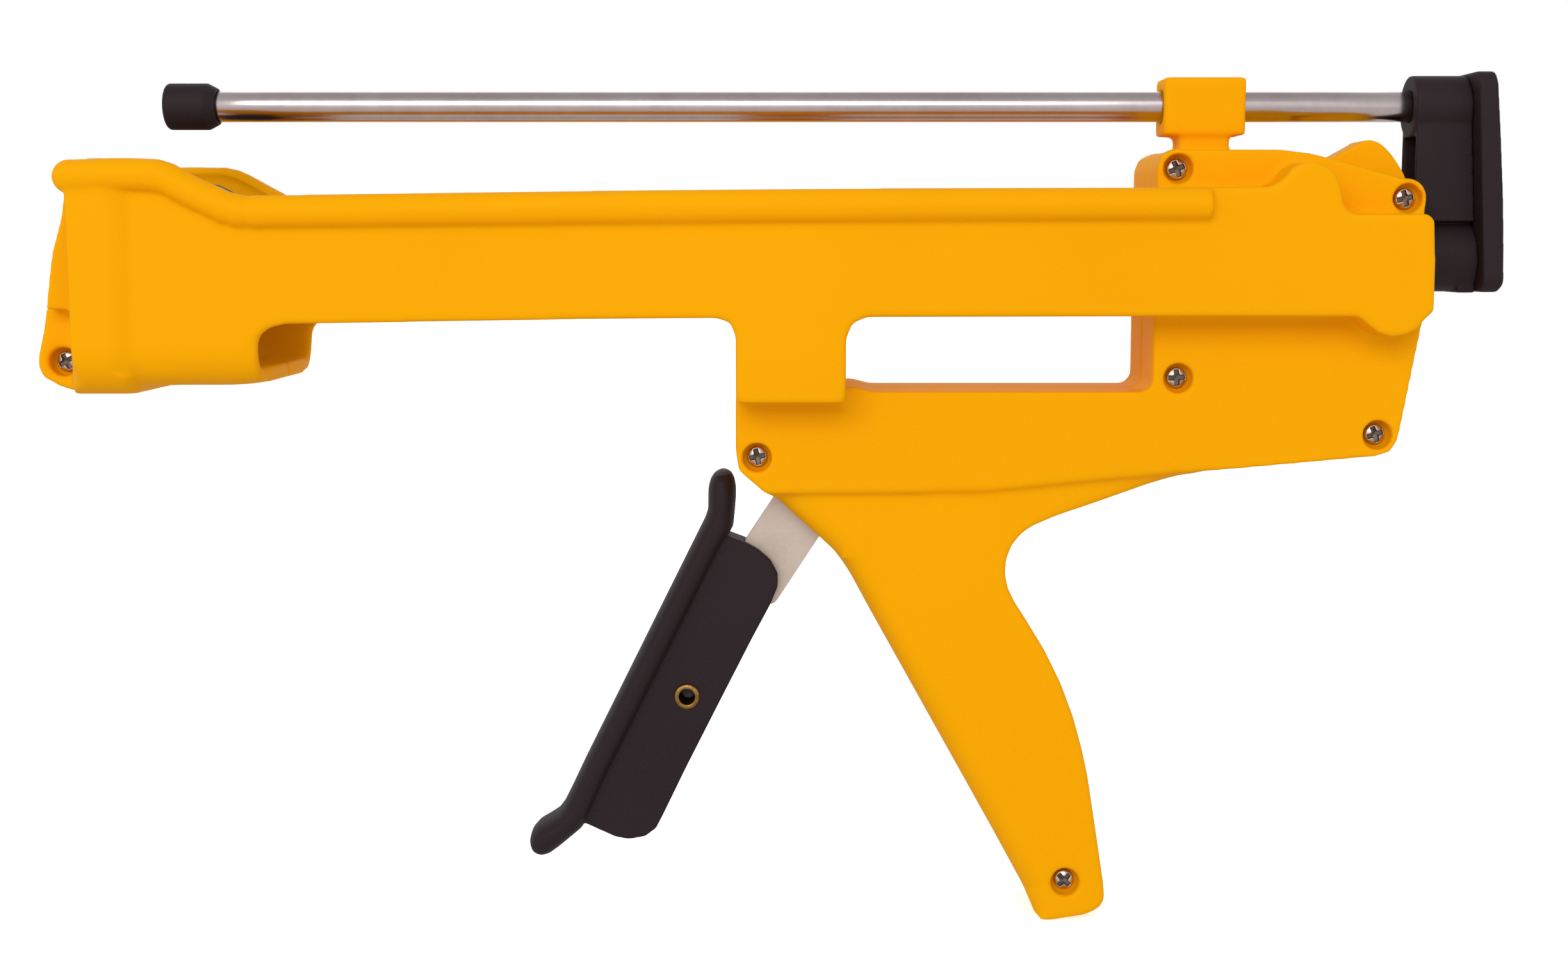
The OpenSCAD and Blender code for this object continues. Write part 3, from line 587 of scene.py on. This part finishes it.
floor_z = CAD_BOX[0].z
bm = bmesh.new()
ring = [bm.verts.new((0.18 + 6 * math.cos(a), 6 * math.sin(a), floor_z)) for a in [2 * math.pi * i / 64 for i in range(64)]]
bm.faces.new(ring)
fm = bpy.data.meshes.new("floor"); bm.to_mesh(fm); bm.free()
floor = bpy.data.objects.new("floor", fm); scene.collection.objects.link(floor)
m, t, p = new_mat("floor_paper")
v = coords(t)
t.links.new(ramp(t, noise(t, v, 3, 4), [(0.3, (0.90, 0.90, 0.90)), (0.7, (0.93, 0.93, 0.925))]), p.inputs["Base Color"])
p.inputs["Roughness"].default_value = 0.9
p.inputs["Specular IOR Level"].default_value = 0.1
p.inputs["Emission Color"].default_value = (1, 1, 1, 1)
p.inputs["Emission Strength"].default_value = 0.55
set_mat(floor, m)
floor.visible_diffuse = False
floor.visible_glossy = False

w = bpy.data.worlds.new("world"); scene.world = w
w.use_nodes = True
t = w.node_tree; t.nodes.clear()
out = t.nodes.new("ShaderNodeOutputWorld")
bg = t.nodes.new("ShaderNodeBackground"); bg.inputs[1].default_value = 1.12
tc = t.nodes.new("ShaderNodeTexCoord"); sep = t.nodes.new("ShaderNodeSeparateXYZ")
t.links.new(tc.outputs["Generated"], sep.inputs[0])
t.links.new(ramp(t, rng(t, sep.outputs[2], 0.0, 1.0, -1.0, 1.0), [(0.0, (0.62, 0.565, 0.54)), (0.36, (0.64, 0.61, 0.60)), (0.56, (0.84, 0.825, 0.825)), (0.8, (0.62, 0.61, 0.61)), (1.0, (0.44, 0.43, 0.43))]), bg.inputs[0])
cm = t.nodes.new("ShaderNodeBackground"); cm.inputs[0].default_value = (1, 1, 1, 1); cm.inputs[1].default_value = 1.0
mx = t.nodes.new("ShaderNodeMixShader"); lp = t.nodes.new("ShaderNodeLightPath")
t.links.new(lp.outputs["Is Camera Ray"], mx.inputs[0]); t.links.new(bg.outputs[0], mx.inputs[1]); t.links.new(cm.outputs[0], mx.inputs[2])
t.links.new(mx.outputs[0], out.inputs[0])

area("key", (-0.3, -2.0, 0.95), (0.18, 0, -0.05), (1.8, 1.0), 20.4, (1, 0.985, 0.97))
area("back", (0.2, 1.5, 1.0), (0.18, 0, -0.05), (1.8, 1.0), 5)

scene.view_settings.view_transform = "Standard"
scene.view_settings.look = "None"
scene.view_settings.exposure = 0
scene.view_settings.gamma = 1
